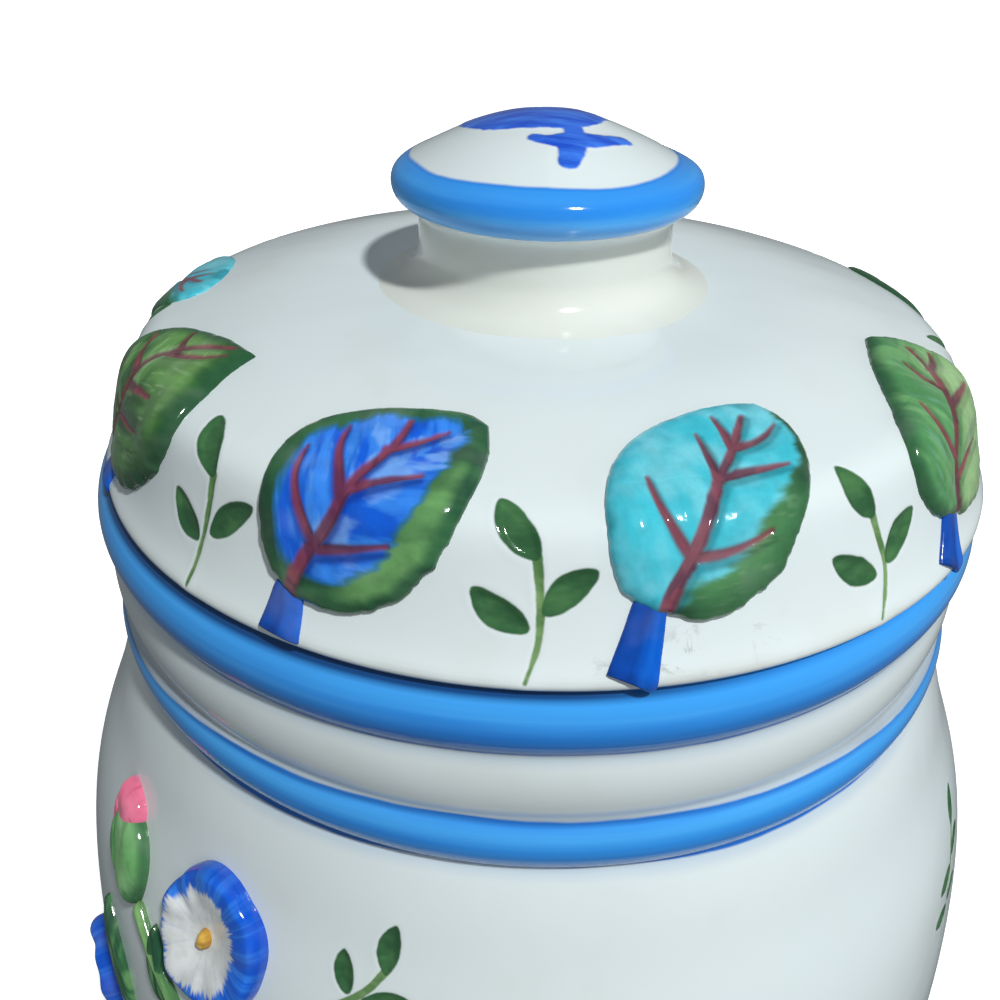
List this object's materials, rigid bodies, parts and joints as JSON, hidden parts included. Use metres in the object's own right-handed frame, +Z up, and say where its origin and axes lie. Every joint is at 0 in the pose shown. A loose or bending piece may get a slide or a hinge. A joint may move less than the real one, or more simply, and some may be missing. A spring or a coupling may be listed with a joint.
{
  "type": "storage jar",
  "caption": "Round-bellied glazed ceramic storage jar with a loose domed lid, mushroom knob, blue-banded neck and raised painted leaves and flowers.",
  "frame": {"origin": "on the floor, under the centre of the foot ring", "axes": "+Z up along the jar's axis, through the knob; -Y is the front seen in the picture, +X to its right"},
  "size_m": [0.1708, 0.1712, 0.2143],
  "materials": {
    "white_glaze_jar": "clear gloss glaze over white, blue brushed bands on the neck",
    "white_glaze_lid": "clear gloss glaze over white",
    "white_glaze_knob": "clear gloss glaze over white, blue brushed band",
    "green_leaf_glaze": "brushed green underglaze under clear gloss glaze",
    "green_stem_glaze": "brushed light green underglaze under clear gloss glaze",
    "blue_stalk_glaze": "brushed blue underglaze under clear gloss glaze",
    "blue_petal_glaze": "brushed blue underglaze fading to white under clear gloss glaze",
    "yellow_eye_glaze": "yellow underglaze under clear gloss glaze",
    "pink_petal_glaze": "brushed pink underglaze under clear gloss glaze"
  },
  "bodies": {
    "jar": {"jar_body": "white_glaze_jar", "front_flower_upper": "blue_petal_glaze", "front_flower_lower": "blue_petal_glaze", "front_flower_eyes": "yellow_eye_glaze", "front_bud_petals": "pink_petal_glaze", "front_bud_calyxes": "green_stem_glaze", "front_bouquet_stems": "green_stem_glaze", "front_bouquet_leaves": "green_leaf_glaze", "back_flower_upper": "blue_petal_glaze", "back_flower_lower": "blue_petal_glaze", "back_flower_eyes": "yellow_eye_glaze", "back_bud_petals": "pink_petal_glaze", "back_bud_calyxes": "green_stem_glaze", "back_bouquet_stems": "green_stem_glaze", "back_bouquet_leaves": "green_leaf_glaze"},
    "lid": {"lid_shell": "white_glaze_lid", "lid_knob": "white_glaze_knob", "lid_leaf_left": "green_leaf_glaze", "lid_leaf_front_left": "green_leaf_glaze", "lid_leaf_front_right": "green_leaf_glaze", "lid_leaf_right": "green_leaf_glaze", "lid_leaf_back_right": "green_leaf_glaze", "lid_leaf_rear_right": "green_leaf_glaze", "lid_leaf_rear": "green_leaf_glaze", "lid_leaf_rear_left": "green_leaf_glaze", "lid_leaf_back_left": "green_leaf_glaze", "lid_leaf_stalks": "blue_stalk_glaze"}
  },
  "joints": [
    {"name": "lid_lift", "type": "slide", "parent": "jar", "child": "lid", "axis": [0, 0, 1], "range_m": [0, 0.12]}
  ]
}
